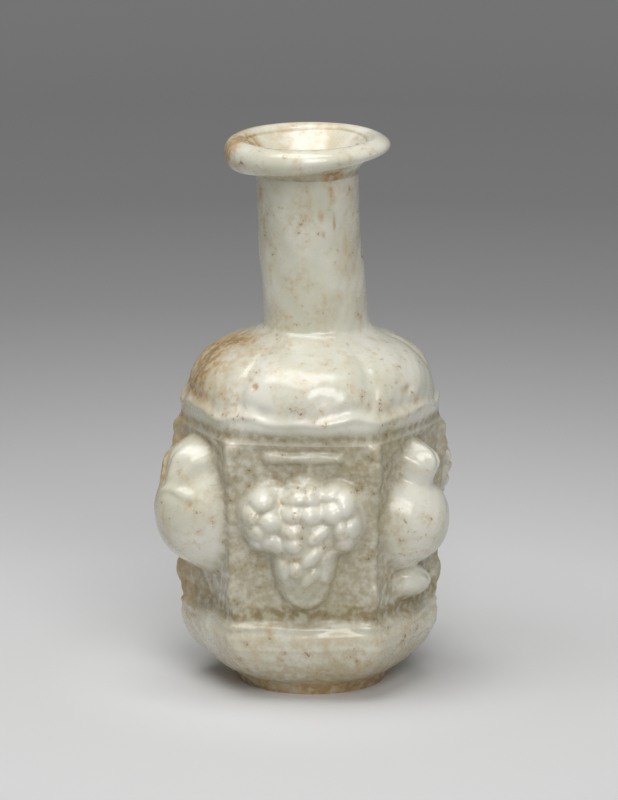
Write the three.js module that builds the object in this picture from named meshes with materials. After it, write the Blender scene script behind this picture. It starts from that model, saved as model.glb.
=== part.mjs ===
import * as THREE from "three";

// A small hexagonal bottle of opaque white glass: blown into a mould up to the shoulder, with the
// neck drawn out above it and the lip folded outwards. Six panels carry fruit in relief.
// Millimetres, +Z up. The flat base stands on z = 0 round the origin, and the panel with the
// bunch of grapes faces -Y. The real wall is one skin of glass. It is modelled in the sections
// that its making and its mouldings give, each a solid that meets the next one face to face.

// Heights of the sections, from the table up
const BASE_THICKNESS = 2.2;
const UNDERSIDE_HEIGHT = 5.2;
const MOULDING_HEIGHT = 4.4;
const PANEL_HEIGHT = 26.0;
const CORNICE_HEIGHT = 3.4;
const SHOULDER_HEIGHT = 10.8;
const NECK_LENGTH = 21.6;
const LIP_HEIGHT = 5.1;

// Outside radii, over the corners where the section has six sides
const FOOT_RADIUS = 10.8;
const PANEL_FOOT_RADIUS = 18.1;
const LEDGE_RADIUS = 18.3;
// How far the head of the panels stands out past the shoulder ledge above it
const HEAD_RELIEF = 0.7;
const PANEL_HEAD_RADIUS = LEDGE_RADIUS + HEAD_RELIEF;
// How far the lower moulding stands out from the foot of the panels
const MOULDING_RELIEF = 0.5;
const MOULDING_RADIUS = PANEL_FOOT_RADIUS + MOULDING_RELIEF;
const NECK_FOOT_RADIUS = 7.7;
const NECK_HEAD_RADIUS = 7.2;
const LIP_RADIUS = 11.85;
const LIP_CREST_RADIUS = 10.8;

// The glass
const WALL = 2.0;
const BORE_RADIUS = 4.9;
const HOLLOW_SHARE = 0.5;

// The six corners, in degrees round from the front, as unevenly as the mould was cut
const CORNER_ANGLES = [-36.4, 30.4, 89.0, 150.0, 210.0, 269.0];

// Thin ribs up the corners of the panels, with a round knob near each end
const RIB_WIDTH = 1.5;
const RIB_HEIGHT = 0.5;
const KNOB_RADIUS = 1.7;
const KNOB_HEIGHT = 0.35;
const KNOB_TO_END = 3.8;

// The glass sagged a little while it was soft, so the middle line of the wall drifts along X
const BODY_DRIFT = -0.45;
const NECK_FOOT_DRIFT = 0.45;
const LIP_DRIFT = -0.7;
// Rise of the lip towards +X, as a slope: its underside more than its crest
const LIP_UNDERSIDE_SLOPE = 0.1;
const LIP_CREST_SLOPE = 0.012;

// Relief on the panels. A swelling is [across, up, half width, half height, depth]: where its
// middle lies from the panel's middle, how large it is and how far it stands out of the panel.
const GRAPE_BUNCH = [
  [-4.7, 2.5, 3.8, 4.4, 4.3],
  [4.9, 2.6, 3.7, 4.6, 4.5],
  [0.2, -1.0, 4.2, 9.0, 5.4],
  [0.1, 11.1, 4.8, 1.0, 1.4],
  [0.9, 8.6, 1.0, 1.8, 1.2],
];
const POMEGRANATE = [
  [0.2, 0.4, 6.2, 6.2, 6.3],
  [0.3, 8.3, 2.9, 3.4, 5.2],
  [0.9, -8.8, 3.8, 2.6, 3.8],
];
const PINE_CONE = [
  [0.0, 3.8, 6.1, 7.4, 7.4],
  [0.0, -6.8, 2.9, 4.2, 3.6],
];
const REAR_BUNCH = [
  [-4.5, 3.4, 3.9, 4.3, 4.9],
  [4.5, 3.4, 3.9, 4.3, 4.9],
  [0.0, -0.6, 4.3, 8.8, 5.9],
  [0.0, 10.6, 1.0, 2.0, 1.4],
];
const QUINCE = [
  [0.0, 2.6, 6.2, 6.8, 8.3],
  [0.0, -8.0, 2.8, 3.0, 3.4],
];
const CITRON = [
  [0.2, 1.2, 6.1, 7.5, 8.0],
  [-0.6, 8.0, 4.2, 3.6, 5.8],
];
// Berries or scales on a swelling stand in staggered rows: pitch across and up, and height
const BERRIES = { across: 2.8, up: 2.2, height: 0.8 };
const SCALES = { across: 2.8, up: 2.2, height: 0.5 };
const SMOOTH = null;
// Height of a swelling below which the berries on it fade out
const STUDS_FADE = 2.0;
// The glass did not fill the mould sharply: every edge of the relief is softened by about this
const SOFTNESS = 0.55;
// How far out a swelling keeps its round shape, as a share of its half width, before its side
// runs straight down into the panel
const ROUND_SHARE = 0.85;

const PANELS = [
  { name: "panel_grapes", fruit: GRAPE_BUNCH, studs: BERRIES, columns: 28 },
  { name: "panel_pomegranate", fruit: POMEGRANATE, studs: SMOOTH, columns: 20 },
  { name: "panel_pine_cone", fruit: PINE_CONE, studs: SCALES, columns: 24 },
  { name: "panel_grapes_rear", fruit: REAR_BUNCH, studs: BERRIES, columns: 26 },
  { name: "panel_quince", fruit: QUINCE, studs: SMOOTH, columns: 20 },
  { name: "panel_citron", fruit: CITRON, studs: SMOOTH, columns: 20 },
];

// Fineness of the facets
const ROWS_UP_PANEL = 36;
const COLUMNS_INSIDE_PANEL = 5;
const COLUMNS_PER_SIDE = 8;
const SIDES = CORNER_ANGLES.length;

// Levels where one section ends and the next begins
const UNDERSIDE_LEVEL = BASE_THICKNESS;
const MOULDING_LEVEL = UNDERSIDE_LEVEL + UNDERSIDE_HEIGHT;
const PANEL_LEVEL = MOULDING_LEVEL + MOULDING_HEIGHT;
const CORNICE_LEVEL = PANEL_LEVEL + PANEL_HEIGHT;
const SHOULDER_LEVEL = CORNICE_LEVEL + CORNICE_HEIGHT;
const NECK_LEVEL = SHOULDER_LEVEL + SHOULDER_HEIGHT;
const LIP_LEVEL = NECK_LEVEL + NECK_LENGTH;

// The outside profile, as [level, radius, roundness]. A roundness of 0 is a flat side between
// two corners, 1 is a full circle through them, and above 1 the side swells into a lobe.
const shoulderRise = (share) => SHOULDER_LEVEL + SHOULDER_HEIGHT * share;
const shoulderRadius = (share) => THREE.MathUtils.lerp(NECK_FOOT_RADIUS, LEDGE_RADIUS, share);
const undersideRadius = (share) => THREE.MathUtils.lerp(FOOT_RADIUS, MOULDING_RADIUS, share);
const PROFILE = [
  [0, FOOT_RADIUS - 0.5, 1],
  [BASE_THICKNESS * 0.25, FOOT_RADIUS, 1],
  [BASE_THICKNESS * 0.7, FOOT_RADIUS + 0.4, 0.95],
  [UNDERSIDE_LEVEL, undersideRadius(0.22), 0.85],
  [UNDERSIDE_LEVEL + UNDERSIDE_HEIGHT * 0.2, undersideRadius(0.46), 0.6],
  [UNDERSIDE_LEVEL + UNDERSIDE_HEIGHT * 0.62, undersideRadius(0.77), 0.35],
  [MOULDING_LEVEL, undersideRadius(0.93), 0.3],
  [MOULDING_LEVEL + MOULDING_HEIGHT * 0.5, MOULDING_RADIUS, 0.38],
  [MOULDING_LEVEL + MOULDING_HEIGHT * 0.85, MOULDING_RADIUS - 0.1, 0.25],
  [PANEL_LEVEL, PANEL_FOOT_RADIUS, 0],
  [CORNICE_LEVEL - PANEL_HEIGHT * 0.05, PANEL_HEAD_RADIUS, 0],
  [CORNICE_LEVEL, PANEL_HEAD_RADIUS, 0.25],
  [CORNICE_LEVEL + CORNICE_HEIGHT * 0.5, LEDGE_RADIUS + 0.3, 0.62],
  [SHOULDER_LEVEL, LEDGE_RADIUS, 0.78],
  [shoulderRise(0.17), shoulderRadius(0.94), 0.95],
  [shoulderRise(0.4), shoulderRadius(0.84), 1.1],
  [shoulderRise(0.6), shoulderRadius(0.67), 1.18],
  [shoulderRise(0.75), shoulderRadius(0.43), 1.18],
  [shoulderRise(0.86), shoulderRadius(0.17), 1.08],
  [NECK_LEVEL, NECK_FOOT_RADIUS, 1],
  [NECK_LEVEL + NECK_LENGTH * 0.2, THREE.MathUtils.lerp(NECK_FOOT_RADIUS, NECK_HEAD_RADIUS, 0.5), 1],
  [LIP_LEVEL - NECK_LENGTH * 0.12, NECK_HEAD_RADIUS, 1],
  [LIP_LEVEL, NECK_HEAD_RADIUS + 0.1, 1],
];

// Value of one column of the profile at a level, on a smooth curve through the listed points
function profileAt(level, column) {
  const last = PROFILE.length - 1;
  let i = 0;
  while (i < last - 1 && PROFILE[i + 1][0] <= level) i += 1;
  const slopeAt = (k) => {
    const a = PROFILE[Math.max(k - 1, 0)];
    const b = PROFILE[Math.min(k + 1, last)];
    return (b[column] - a[column]) / (b[0] - a[0]);
  };
  const [from, to] = [PROFILE[i], PROFILE[i + 1]];
  const span = to[0] - from[0];
  const t = THREE.MathUtils.clamp((level - from[0]) / span, 0, 1);
  const rise = t * t * (3 - 2 * t);
  const bend = t * (1 - t) * span * ((1 - t) * slopeAt(i) - t * slopeAt(i + 1));
  return from[column] + (to[column] - from[column]) * rise + bend;
}

const radiusAt = (level) => profileAt(level, 1);
const roundnessAt = (level) => profileAt(level, 2);

// The inside lies one wall in from the outside, measured square to the slope of the profile
function innerRadiusAt(level) {
  const step = 0.1;
  const slope = (radiusAt(level + step) - radiusAt(level - step)) / (2 * step);
  return Math.max(BORE_RADIUS, radiusAt(level) - WALL * Math.hypot(1, slope));
}

// How far the middle line has drifted along X at a level
function driftAt(level) {
  const stops = [
    [0, 0],
    [PANEL_LEVEL, BODY_DRIFT],
    [CORNICE_LEVEL, BODY_DRIFT],
    [NECK_LEVEL, NECK_FOOT_DRIFT],
    [LIP_LEVEL, LIP_DRIFT],
  ];
  for (let i = 1; i < stops.length; i += 1) {
    const [[from, start], [to, end]] = [stops[i - 1], stops[i]];
    if (level <= to) return THREE.MathUtils.mapLinear(level, from, to, start, end);
  }
  return LIP_DRIFT;
}

// Direction out from the middle line, at an angle in degrees round from the front
function outward(angle) {
  const turn = THREE.MathUtils.degToRad(angle);
  return new THREE.Vector2(Math.sin(turn), -Math.cos(turn));
}

// The two corners of a side, and its outward normal, for corners one unit out
function sideFrame(side) {
  const left = outward(CORNER_ANGLES[side % SIDES]);
  const right = outward(CORNER_ANGLES[(side + 1) % SIDES]);
  const along = right.clone().sub(left);
  const width = along.length();
  const normal = new THREE.Vector2(along.y, -along.x).divideScalar(width);
  return { left, right, width, normal };
}

// A point of the plain cross-section: share runs from 0 to 1 between the corners of a side
function crossSection(side, share, radius, roundness) {
  const { left, right } = sideFrame(side);
  const flat = left.clone().lerp(right, share);
  const round = flat.clone().normalize();
  return flat.lerp(round, roundness).multiplyScalar(radius);
}

const atLevel = (plan, level) => new THREE.Vector3(plan.x + driftAt(level), plan.y, level);

function outerWall(side, share, level) {
  return atLevel(crossSection(side, share, radiusAt(level), roundnessAt(level)), level);
}

function innerWall(side, share, level) {
  return atLevel(crossSection(side, share, innerRadiusAt(level), roundnessAt(level)), level);
}

// Three corners make a facet, left out where two of them are the same point
function addFacet(facets, a, b, c) {
  const same = (p, q) => p.distanceToSquared(q) < 1e-12;
  if (same(a, b) || same(b, c) || same(c, a)) return;
  facets.push(a, b, c);
}

// A grid of points, columns going round to the right and each column going up
function addPatch(facets, columns) {
  for (let i = 1; i < columns.length; i += 1) {
    const [left, right] = [columns[i - 1], columns[i]];
    for (let j = 1; j < left.length; j += 1) {
      addFacet(facets, left[j - 1], right[j - 1], right[j]);
      addFacet(facets, left[j - 1], right[j], left[j]);
    }
  }
}

// A flat strip between two rows of points that run side by side over the same length
function addStrip(facets, outer, inner, faceUp) {
  let [i, j] = [0, 0];
  while (i < outer.length - 1 || j < inner.length - 1) {
    const outerNext = (i + 1) / (outer.length - 1);
    const innerNext = (j + 1) / (inner.length - 1);
    const step = outerNext <= innerNext ? outer[i + 1] : inner[j + 1];
    if (faceUp) addFacet(facets, outer[i], step, inner[j]);
    else addFacet(facets, outer[i], inner[j], step);
    if (outerNext <= innerNext) i += 1;
    else j += 1;
  }
}

function makeMesh(name, facets, color, roughness) {
  const geometry = new THREE.BufferGeometry().setFromPoints(facets);
  geometry.computeVertexNormals();
  const material = new THREE.MeshStandardMaterial({ color, roughness, metalness: 0 });
  const mesh = new THREE.Mesh(geometry, material);
  mesh.name = name;
  return mesh;
}

// A section that goes all the way round: loopAt gives its closed cross-section, outside going up
// and inside going down, at a share of a side. A solid one has a loop that touches the axis.
function makeRing(name, loopAt, color, roughness) {
  const columns = [];
  for (let i = 0; i <= SIDES * COLUMNS_PER_SIDE; i += 1) {
    const side = Math.floor(i / COLUMNS_PER_SIDE) % SIDES;
    const loop = loopAt(side, (i % COLUMNS_PER_SIDE) / COLUMNS_PER_SIDE);
    columns.push([...loop, loop[0]]);
  }
  const facets = [];
  addPatch(facets, columns);
  return makeMesh(name, facets, color, roughness);
}

// Levels at given shares of the way from one level to another
const levelsBetween = (from, to, shares) => shares.map((share) => THREE.MathUtils.lerp(from, to, share));
const evenShares = (count) => Array.from({ length: count + 1 }, (_, i) => i / count);

// A section of plain wall; its inside is even enough for every other level
function makeWallRing(name, levels, color, roughness) {
  const innerLevels = levels.filter((_, i) => i % 2 === 0);
  const loopAt = (side, share) => {
    const outside = levels.map((level) => outerWall(side, share, level));
    const inside = innerLevels.map((level) => innerWall(side, share, level));
    return [...outside, ...inside.reverse()];
  };
  return makeRing(name, loopAt, color, roughness);
}

// The solid round base, flat below and flat inside the bottle
function makeBase() {
  const levels = [0, 0.12, 0.25, 0.7, 1].map((share) => BASE_THICKNESS * share);
  const loopAt = (side, share) => {
    const outside = levels.map((level) => outerWall(side, share, level));
    const bottom = atLevel(new THREE.Vector2(), 0);
    const top = atLevel(new THREE.Vector2(), BASE_THICKNESS);
    return [bottom, ...outside, top];
  };
  return makeRing("base_disc", loopAt, 0xc4bda6, 0.5);
}

// The folded lip: out under the fold, over its edge and crest, and down the dished mouth
function makeLip() {
  const reach = LIP_RADIUS - NECK_HEAD_RADIUS;
  const dish = LIP_CREST_RADIUS - BORE_RADIUS;
  const fold = [
    { radius: radiusAt(LIP_LEVEL), rise: 0, slope: 0 },
    { radius: NECK_HEAD_RADIUS + reach * 0.14, rise: 0.16, slope: LIP_UNDERSIDE_SLOPE * 0.6 },
    { radius: NECK_HEAD_RADIUS + reach * 0.46, rise: 0.29, slope: LIP_UNDERSIDE_SLOPE },
    { radius: NECK_HEAD_RADIUS + reach * 0.82, rise: 0.4, slope: LIP_UNDERSIDE_SLOPE },
    { radius: LIP_RADIUS, rise: 0.62, slope: LIP_UNDERSIDE_SLOPE * 0.5 },
    { radius: THREE.MathUtils.lerp(LIP_CREST_RADIUS, LIP_RADIUS, 0.75), rise: 0.87, slope: LIP_CREST_SLOPE },
    { radius: LIP_CREST_RADIUS, rise: 1, slope: LIP_CREST_SLOPE },
    { radius: BORE_RADIUS + dish * 0.78, rise: 0.92, slope: LIP_CREST_SLOPE },
    { radius: BORE_RADIUS + dish * 0.5, rise: 0.66, slope: LIP_CREST_SLOPE },
    { radius: BORE_RADIUS + dish * 0.16, rise: 0.3, slope: LIP_CREST_SLOPE },
    { radius: BORE_RADIUS, rise: 0, slope: 0 },
  ];
  const loopAt = (side, share) => fold.map(({ radius, rise, slope }) => {
    const plan = crossSection(side, share, radius, 1);
    const point = atLevel(plan, LIP_LEVEL + LIP_HEIGHT * rise);
    point.z += plan.x * slope;
    return point;
  });
  return makeRing("lip", loopAt, 0xd9d3c0, 0.35);
}

// Height of the staggered berries or scales at a place on the panel
function studHeight(studs, across, up) {
  if (!studs) return 0;
  const wave = Math.cos((2 * Math.PI * across) / studs.across) * Math.cos((Math.PI * up) / studs.up);
  return studs.height * Math.max(0, wave);
}

// Height of a round swelling of unit height, at a share of its half width out from its middle
function domeHeight(spread) {
  if (spread < ROUND_SHARE) return Math.sqrt(1 - spread * spread);
  const shoulder = Math.sqrt(1 - ROUND_SHARE * ROUND_SHARE);
  return Math.max(0, shoulder - ((spread - ROUND_SHARE) * ROUND_SHARE) / shoulder);
}

// How far the swellings would stand out with sharp edges, at a place on the panel
function sharpHeight(fruit, across, up) {
  let height = 0;
  for (const [middleAcross, middleUp, halfWidth, halfHeight, depth] of fruit) {
    const spread = Math.hypot((across - middleAcross) / halfWidth, (up - middleUp) / halfHeight);
    height = Math.max(height, depth * domeHeight(spread));
  }
  return height;
}

// How far the fruit stands out: the swellings softened, as the mean over a small square, with
// the berries or scales on them
function fruitHeight({ fruit, studs }, across, up) {
  const offsets = [-SOFTNESS, 0, SOFTNESS];
  let sum = 0;
  for (const a of offsets) {
    for (const b of offsets) sum += sharpHeight(fruit, across + a, up + b);
  }
  const height = sum / offsets.length ** 2;
  return height + studHeight(studs, across, up) * Math.min(1, height / STUDS_FADE);
}

// The hollow behind the fruit, where the glass was blown part of the way into it
function hollowDepth({ fruit }, across, up) {
  let depth = 0;
  for (const [middleAcross, middleUp, halfWidth, halfHeight, height] of fruit) {
    const spread = Math.hypot((across - middleAcross) / halfWidth, (up - middleUp) / halfHeight);
    depth = Math.max(depth, height * HOLLOW_SHARE * Math.max(0, 1 - spread * spread) ** 2);
  }
  return depth;
}

// Rises from 0 at the edge of a panel to 1 a rib's width in, so that the relief keeps clear of it
function clearOfEdge(distance) {
  return THREE.MathUtils.smoothstep(distance, 0, RIB_WIDTH);
}

// A point of a panel's outside or inside, with its relief
function panelPoint(side, share, level, inside) {
  const radius = inside ? innerRadiusAt(level) : radiusAt(level);
  const { width, normal } = sideFrame(side);
  const plan = crossSection(side, share, radius, roundnessAt(level));
  const across = (share - 0.5) * width * radius;
  const up = level - (PANEL_LEVEL + PANEL_HEIGHT / 2);
  const toCorner = (width * radius) / 2 - Math.abs(across);
  const toEnd = PANEL_HEIGHT / 2 - Math.abs(up);
  const clear = clearOfEdge(toCorner) * clearOfEdge(toEnd);
  const panel = PANELS[side];
  const relief = inside ? hollowDepth(panel, across, up) : fruitHeight(panel, across, up);
  plan.addScaledVector(normal, relief * clear);
  if (!inside) {
    const knob = domeHeight(Math.hypot(toCorner, toEnd - KNOB_TO_END) / KNOB_RADIUS);
    const rib = RIB_HEIGHT * (1 - clearOfEdge(toCorner)) * clearOfEdge(toEnd) + KNOB_HEIGHT * knob;
    plan.addScaledVector(plan.clone().normalize(), rib);
  }
  return atLevel(plan, level);
}

// Shares across a panel, closer together beside the corners, where the ribs are
function panelShares(count) {
  const middle = evenShares(count - 4).map((share) => THREE.MathUtils.lerp(0.085, 0.915, share));
  return [0, 0.04, ...middle, 0.96, 1];
}

// One side of the body: an outer face with its fruit, an inner face, and the edges between them
function makePanel(side) {
  const { name, columns } = PANELS[side];
  const levels = levelsBetween(PANEL_LEVEL, CORNICE_LEVEL, evenShares(ROWS_UP_PANEL));
  const column = (share, inside) => levels.map((level) => panelPoint(side, share, level, inside));
  const outside = panelShares(columns).map((share) => column(share, false));
  const inside = evenShares(COLUMNS_INSIDE_PANEL).map((share) => column(share, true));
  const facets = [];
  addPatch(facets, [...outside, ...inside.toReversed(), outside[0]]);
  const row = (face, index) => face.map((points) => points[index]);
  addStrip(facets, row(outside, 0), row(inside, 0), false);
  addStrip(facets, row(outside, ROWS_UP_PANEL), row(inside, ROWS_UP_PANEL), true);
  return makeMesh(name, facets, 0xd2cfbf, 0.38);
}

const bottle = new THREE.Group();
bottle.add(makeBase());
bottle.add(makeWallRing(
  "underside", levelsBetween(UNDERSIDE_LEVEL, MOULDING_LEVEL, [0, 0.2, 0.4, 0.7, 1]), 0xc9c4b0, 0.45));
bottle.add(makeWallRing(
  "lower_moulding", levelsBetween(MOULDING_LEVEL, PANEL_LEVEL, [0, 0.25, 0.5, 0.85, 1]), 0xcfcab8, 0.4));
for (let side = 0; side < SIDES; side += 1) bottle.add(makePanel(side));
bottle.add(makeWallRing(
  "cornice", levelsBetween(CORNICE_LEVEL, SHOULDER_LEVEL, [0, 0.25, 0.5, 0.75, 1]), 0xccc6b2, 0.42));
bottle.add(makeWallRing(
  "shoulder", levelsBetween(SHOULDER_LEVEL, NECK_LEVEL, [0, 0.17, 0.4, 0.6, 0.68, 0.75, 0.81, 0.88, 1]),
  0xd4d2c4, 0.36));
bottle.add(makeWallRing(
  "neck", levelsBetween(NECK_LEVEL, LIP_LEVEL, [0, 0.08, 0.2, 0.55, 1]), 0xd0d2c0, 0.34));
bottle.add(makeLip());

export default bottle;
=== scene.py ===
import math

import bpy
import numpy as np
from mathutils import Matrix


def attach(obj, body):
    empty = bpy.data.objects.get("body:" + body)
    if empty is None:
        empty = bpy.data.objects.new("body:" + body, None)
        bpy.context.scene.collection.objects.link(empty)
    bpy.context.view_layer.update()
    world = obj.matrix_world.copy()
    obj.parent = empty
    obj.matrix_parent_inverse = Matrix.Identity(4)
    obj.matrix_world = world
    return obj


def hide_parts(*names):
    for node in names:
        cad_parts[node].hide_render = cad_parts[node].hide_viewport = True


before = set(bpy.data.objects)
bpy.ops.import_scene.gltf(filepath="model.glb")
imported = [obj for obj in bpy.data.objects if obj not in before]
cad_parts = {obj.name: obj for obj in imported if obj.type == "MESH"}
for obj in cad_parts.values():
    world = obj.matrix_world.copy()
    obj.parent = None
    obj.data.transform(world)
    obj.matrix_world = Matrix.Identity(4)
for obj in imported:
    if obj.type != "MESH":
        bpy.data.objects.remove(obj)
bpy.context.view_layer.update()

# The view: a long lens a little above the bottle, as the photograph was taken, with the bottle's
# middle a little right of the middle of the frame and a little below it.
MM = 0.001
IMAGE_WIDTH, IMAGE_HEIGHT = 618, 800
VIEW_ELEVATION = math.radians(14.0)
VIEW_DISTANCE = 930.0 * MM
AIM_HEIGHT = 39.0 * MM
PIXELS_PER_MM = 7.04
AIM_PIXEL_X, AIM_PIXEL_Y = 312.0, 410.0
SENSOR_HEIGHT = 24.0
camera_data = bpy.data.cameras.new("camera")
camera_data.sensor_fit = "VERTICAL"
camera_data.sensor_height = SENSOR_HEIGHT
camera_data.lens = PIXELS_PER_MM / MM * VIEW_DISTANCE / IMAGE_HEIGHT * SENSOR_HEIGHT
camera_data.shift_x = (IMAGE_WIDTH / 2 - AIM_PIXEL_X) / IMAGE_HEIGHT
camera_data.shift_y = (AIM_PIXEL_Y - IMAGE_HEIGHT / 2) / IMAGE_HEIGHT
camera = bpy.data.objects.new("camera", camera_data)
camera.location = (
    0.0,
    -VIEW_DISTANCE * math.cos(VIEW_ELEVATION),
    AIM_HEIGHT + VIEW_DISTANCE * math.sin(VIEW_ELEVATION),
)
camera.rotation_euler = (math.pi / 2 - VIEW_ELEVATION, 0.0, 0.0)
bpy.context.collection.objects.link(camera)
bpy.context.scene.camera = camera
bpy.context.scene.view_settings.view_transform = "Standard"

# The wall: one skin of opaque white glass, blown into a six-sided mould up to the shoulder and
# drawn out by hand above it. All pieces but the lip are cut from this one surface. Lengths are in
# millimetres, a turn runs from 0 to 6 round the six sides, and a level runs up from the table.
BASE_THICKNESS = 2.2
UNDERSIDE_HEIGHT = 5.2
MOULDING_HEIGHT = 4.4
PANEL_HEIGHT = 26.0
CORNICE_HEIGHT = 3.4
SHOULDER_HEIGHT = 10.8
NECK_LENGTH = 21.6
FOOT_RADIUS = 10.8
PANEL_FOOT_RADIUS = 18.1
PANEL_HEAD_RADIUS = 19.0
LEDGE_RADIUS = 18.3
MOULDING_RADIUS = PANEL_FOOT_RADIUS + 0.5
NECK_FOOT_RADIUS = 7.7
NECK_HEAD_RADIUS = 7.2
WALL = 2.0
BORE_RADIUS = 4.9
CORNER_ANGLES = (-36.4, 30.4, 89.0, 150.0, 210.0, 269.0)
SIDES = len(CORNER_ANGLES)
BODY_DRIFT, NECK_FOOT_DRIFT, LIP_DRIFT = -0.45, 0.45, -0.7

MOULDING_LEVEL = BASE_THICKNESS + UNDERSIDE_HEIGHT
PANEL_LEVEL = MOULDING_LEVEL + MOULDING_HEIGHT
CORNICE_LEVEL = PANEL_LEVEL + PANEL_HEIGHT
SHOULDER_LEVEL = CORNICE_LEVEL + CORNICE_HEIGHT
NECK_LEVEL = SHOULDER_LEVEL + SHOULDER_HEIGHT
LIP_LEVEL = NECK_LEVEL + NECK_LENGTH


def between(start, end, share):
    """The value a share of the way from start to end."""
    return start + (end - start) * share


def underside_stop(level, reach, roundness):
    """A stop of the profile on the underside, at a share of the way from the foot to the moulding."""
    return (level, between(FOOT_RADIUS, MOULDING_RADIUS, reach), roundness)


def shoulder_stop(rise, reach, roundness):
    """A stop of the profile on the shoulder: share of its height, share of its reach, roundness."""
    level = SHOULDER_LEVEL + SHOULDER_HEIGHT * rise
    return (level, between(NECK_FOOT_RADIUS, LEDGE_RADIUS, reach), roundness)


# Level, radius over the corners, and roundness: 0 is a flat side, 1 a circle, above 1 a lobe
PROFILE = np.array([
    (0.0, FOOT_RADIUS - 0.5, 1.0),
    (BASE_THICKNESS * 0.25, FOOT_RADIUS, 1.0),
    (BASE_THICKNESS * 0.7, FOOT_RADIUS + 0.4, 0.95),
    underside_stop(BASE_THICKNESS, 0.22, 0.85),
    underside_stop(BASE_THICKNESS + UNDERSIDE_HEIGHT * 0.2, 0.46, 0.6),
    underside_stop(BASE_THICKNESS + UNDERSIDE_HEIGHT * 0.62, 0.77, 0.35),
    underside_stop(MOULDING_LEVEL, 0.93, 0.3),
    (MOULDING_LEVEL + MOULDING_HEIGHT * 0.5, MOULDING_RADIUS, 0.38),
    (MOULDING_LEVEL + MOULDING_HEIGHT * 0.85, MOULDING_RADIUS - 0.1, 0.25),
    (PANEL_LEVEL, PANEL_FOOT_RADIUS, 0.0),
    (CORNICE_LEVEL - PANEL_HEIGHT * 0.05, PANEL_HEAD_RADIUS, 0.0),
    (CORNICE_LEVEL, PANEL_HEAD_RADIUS, 0.25),
    (CORNICE_LEVEL + CORNICE_HEIGHT * 0.5, LEDGE_RADIUS + 0.3, 0.62),
    (SHOULDER_LEVEL, LEDGE_RADIUS, 0.78),
    shoulder_stop(0.17, 0.94, 0.95),
    shoulder_stop(0.4, 0.84, 1.1),
    shoulder_stop(0.6, 0.67, 1.18),
    shoulder_stop(0.75, 0.43, 1.18),
    shoulder_stop(0.86, 0.17, 1.08),
    (NECK_LEVEL, NECK_FOOT_RADIUS, 1.0),
    (NECK_LEVEL + NECK_LENGTH * 0.2, (NECK_FOOT_RADIUS + NECK_HEAD_RADIUS) / 2, 1.0),
    (LIP_LEVEL - NECK_LENGTH * 0.12, NECK_HEAD_RADIUS, 1.0),
    (LIP_LEVEL, NECK_HEAD_RADIUS + 0.1, 1.0),
])
RADIUS, ROUNDNESS = 1, 2


def profile_at(level, column):
    """The radius or the roundness at a level: a cubic curve through the stops, with each stop's
    slope taken over its two neighbours."""
    x, y = PROFILE[:, 0], PROFILE[:, column]
    before = np.maximum(np.arange(len(x)) - 1, 0)
    after = np.minimum(np.arange(len(x)) + 1, len(x) - 1)
    slope = (y[after] - y[before]) / (x[after] - x[before])
    i = np.clip(np.searchsorted(x, level, side="right") - 1, 0, len(x) - 2)
    span = x[i + 1] - x[i]
    t = np.clip((level - x[i]) / span, 0.0, 1.0)
    rise = t * t * (3 - 2 * t)
    bend = t * (1 - t) * span * ((1 - t) * slope[i] - t * slope[i + 1])
    return y[i] + (y[i + 1] - y[i]) * rise + bend


def inner_radius(level):
    """The outside radius less one wall, measured square to the slope, and never under the bore."""
    step = 0.1
    slope = (profile_at(level + step, RADIUS) - profile_at(level - step, RADIUS)) / (2 * step)
    return np.maximum(BORE_RADIUS, profile_at(level, RADIUS) - WALL * np.hypot(1.0, slope))


def drift(level):
    """How far the middle line lies along X: straight stretches from the table up to the lip."""
    stops = (0.0, PANEL_LEVEL, CORNICE_LEVEL, NECK_LEVEL, LIP_LEVEL)
    return np.interp(level, stops, (0.0, BODY_DRIFT, BODY_DRIFT, NECK_FOOT_DRIFT, LIP_DRIFT))


CORNERS = np.radians(np.array(CORNER_ANGLES + (CORNER_ANGLES[0] + 360.0,)))
CORNER_POINTS = np.stack([np.sin(CORNERS), -np.cos(CORNERS)], axis=-1)
SIDE_STEPS = np.diff(CORNER_POINTS, axis=0)
SIDE_WIDTHS = np.linalg.norm(SIDE_STEPS, axis=1)
SIDE_NORMALS = np.stack([SIDE_STEPS[:, 1], -SIDE_STEPS[:, 0]], axis=-1) / SIDE_WIDTHS[:, None]


def side_of(turn):
    """The side of the body, from 0 to 5, that a turn falls on."""
    return np.minimum(np.floor(turn).astype(int), SIDES - 1)


def plan(turn, radius, roundness):
    """The cross-section: the chord between two corners, drawn out towards the circle by roundness."""
    side = side_of(turn)
    share = (turn - side)[..., None]
    chord = CORNER_POINTS[side] * (1 - share) + CORNER_POINTS[side + 1] * share
    circle = chord / np.linalg.norm(chord, axis=-1, keepdims=True)
    return (chord + (circle - chord) * roundness[..., None]) * radius[..., None]


# The foot and the underside: the round floor of the mould and the slope up from it, both glass,
# with three low tongues to a side cut in the mould. Soil with painted shade darkens the underside
# towards the table, and the foot is worn brown.
TONGUES_PER_SIDE = 3
TONGUE_HEIGHT = 0.22
TONGUE_FOOT = (BASE_THICKNESS, BASE_THICKNESS + 1.4)
TONGUE_HEAD = (MOULDING_LEVEL - 1.2, MOULDING_LEVEL + 0.2)
# Strength, then the two levels between which it fades out
# Painted shade, with soil, on the underside, darker towards the table
UNDERSIDE_SOIL_AND_SHADE = (0.55, 3.0, 9.0)
FOOT_BROWN = (0.75, 0.9, 5.0)
LOWER_BROWN = (0.3, 9.0, 15.0)
wall_details = []


def smooth_step(value, start, end):
    """0 below start, 1 above end, and a smooth rise between them."""
    t = np.clip((value - start) / (end - start), 0.0, 1.0)
    return t * t * (3 - 2 * t)


def fading(value, strength, start, end):
    """A strength that holds up to start and falls smoothly to nothing at end."""
    return strength * (1 - smooth_step(value, start, end))


def dome(offset):
    """A half circle: 1 in the middle, down to 0 at an offset of 1 either way."""
    return np.sqrt(np.clip(1 - offset * offset, 0.0, 1.0))


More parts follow.
